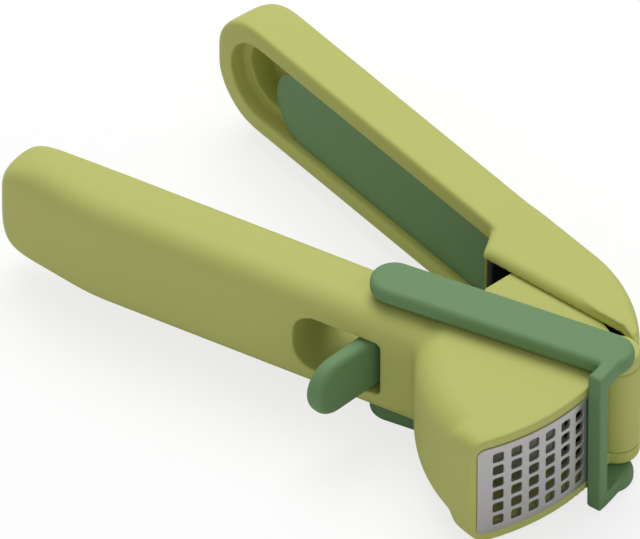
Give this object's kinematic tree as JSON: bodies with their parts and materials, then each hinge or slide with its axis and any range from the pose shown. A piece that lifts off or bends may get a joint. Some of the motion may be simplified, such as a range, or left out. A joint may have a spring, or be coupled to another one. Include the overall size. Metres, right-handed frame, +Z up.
{
  "type": "garlic press",
  "caption": "Hand garlic press with a swinging plunger handle, curved perforated plate, trigger-worked scraper and a cleaning tool kept in the handle.",
  "frame": {"origin": "where the axis of the handle hinge meets the plane that the press rests on, on the underside of the lower scraper arm", "axes": "+Z up along the hinge axis, +X along the main handle from the grip to the head, +Y across to the plunger handle"},
  "size_m": [0.1895, 0.1296, 0.047],
  "materials": {
    "leaf_green": "satin moulded plastic, chartreuse",
    "deep_green": "satin moulded plastic, dark green",
    "plate_steel": "brushed",
    "pin_steel": "turned",
    "black_nylon": "moulded nylon",
    "lip_rubber": "soft"
  },
  "bodies": {
    "main_body": {"main_handle": "leaf_green", "press_plate": "plate_steel", "hinge_pin": "pin_steel", "pivot_bushes": "black_nylon"},
    "plunger_lever": {"plunger_handle": "leaf_green", "hinge_bushes": "black_nylon", "plunger": "black_nylon", "plunger_pad": "plate_steel", "plunger_screws": "pin_steel"},
    "scraper": {"scraper_frame": "deep_green", "scraper_lip": "lip_rubber", "trigger": "deep_green", "pivot_axle": "pin_steel", "hub_pin": "pin_steel", "return_spring": "pin_steel"},
    "tool": {"cleaning_tool": "deep_green"}
  },
  "joints": [
    {"name": "handle_hinge", "type": "hinge", "parent": "main_body", "child": "plunger_lever", "pos_m": [0, 0, 0.0235], "axis": [0, 0, 1], "range_deg": [-90, 20]},
    {"name": "scraper_pivot", "type": "hinge", "parent": "main_body", "child": "scraper", "pos_m": [-0.0621, -0.0097, 0.0235], "axis": [0, 0, 1], "range_deg": [-35, 0], "stiffness_Nm_per_rad": 0.15, "deforming": ["return_spring"]},
    {"name": "tool_lift", "type": "slide", "parent": "plunger_lever", "child": "tool", "axis": [-0.3584, -0.9336, 0], "range_m": [0, 0.006]}
  ]
}
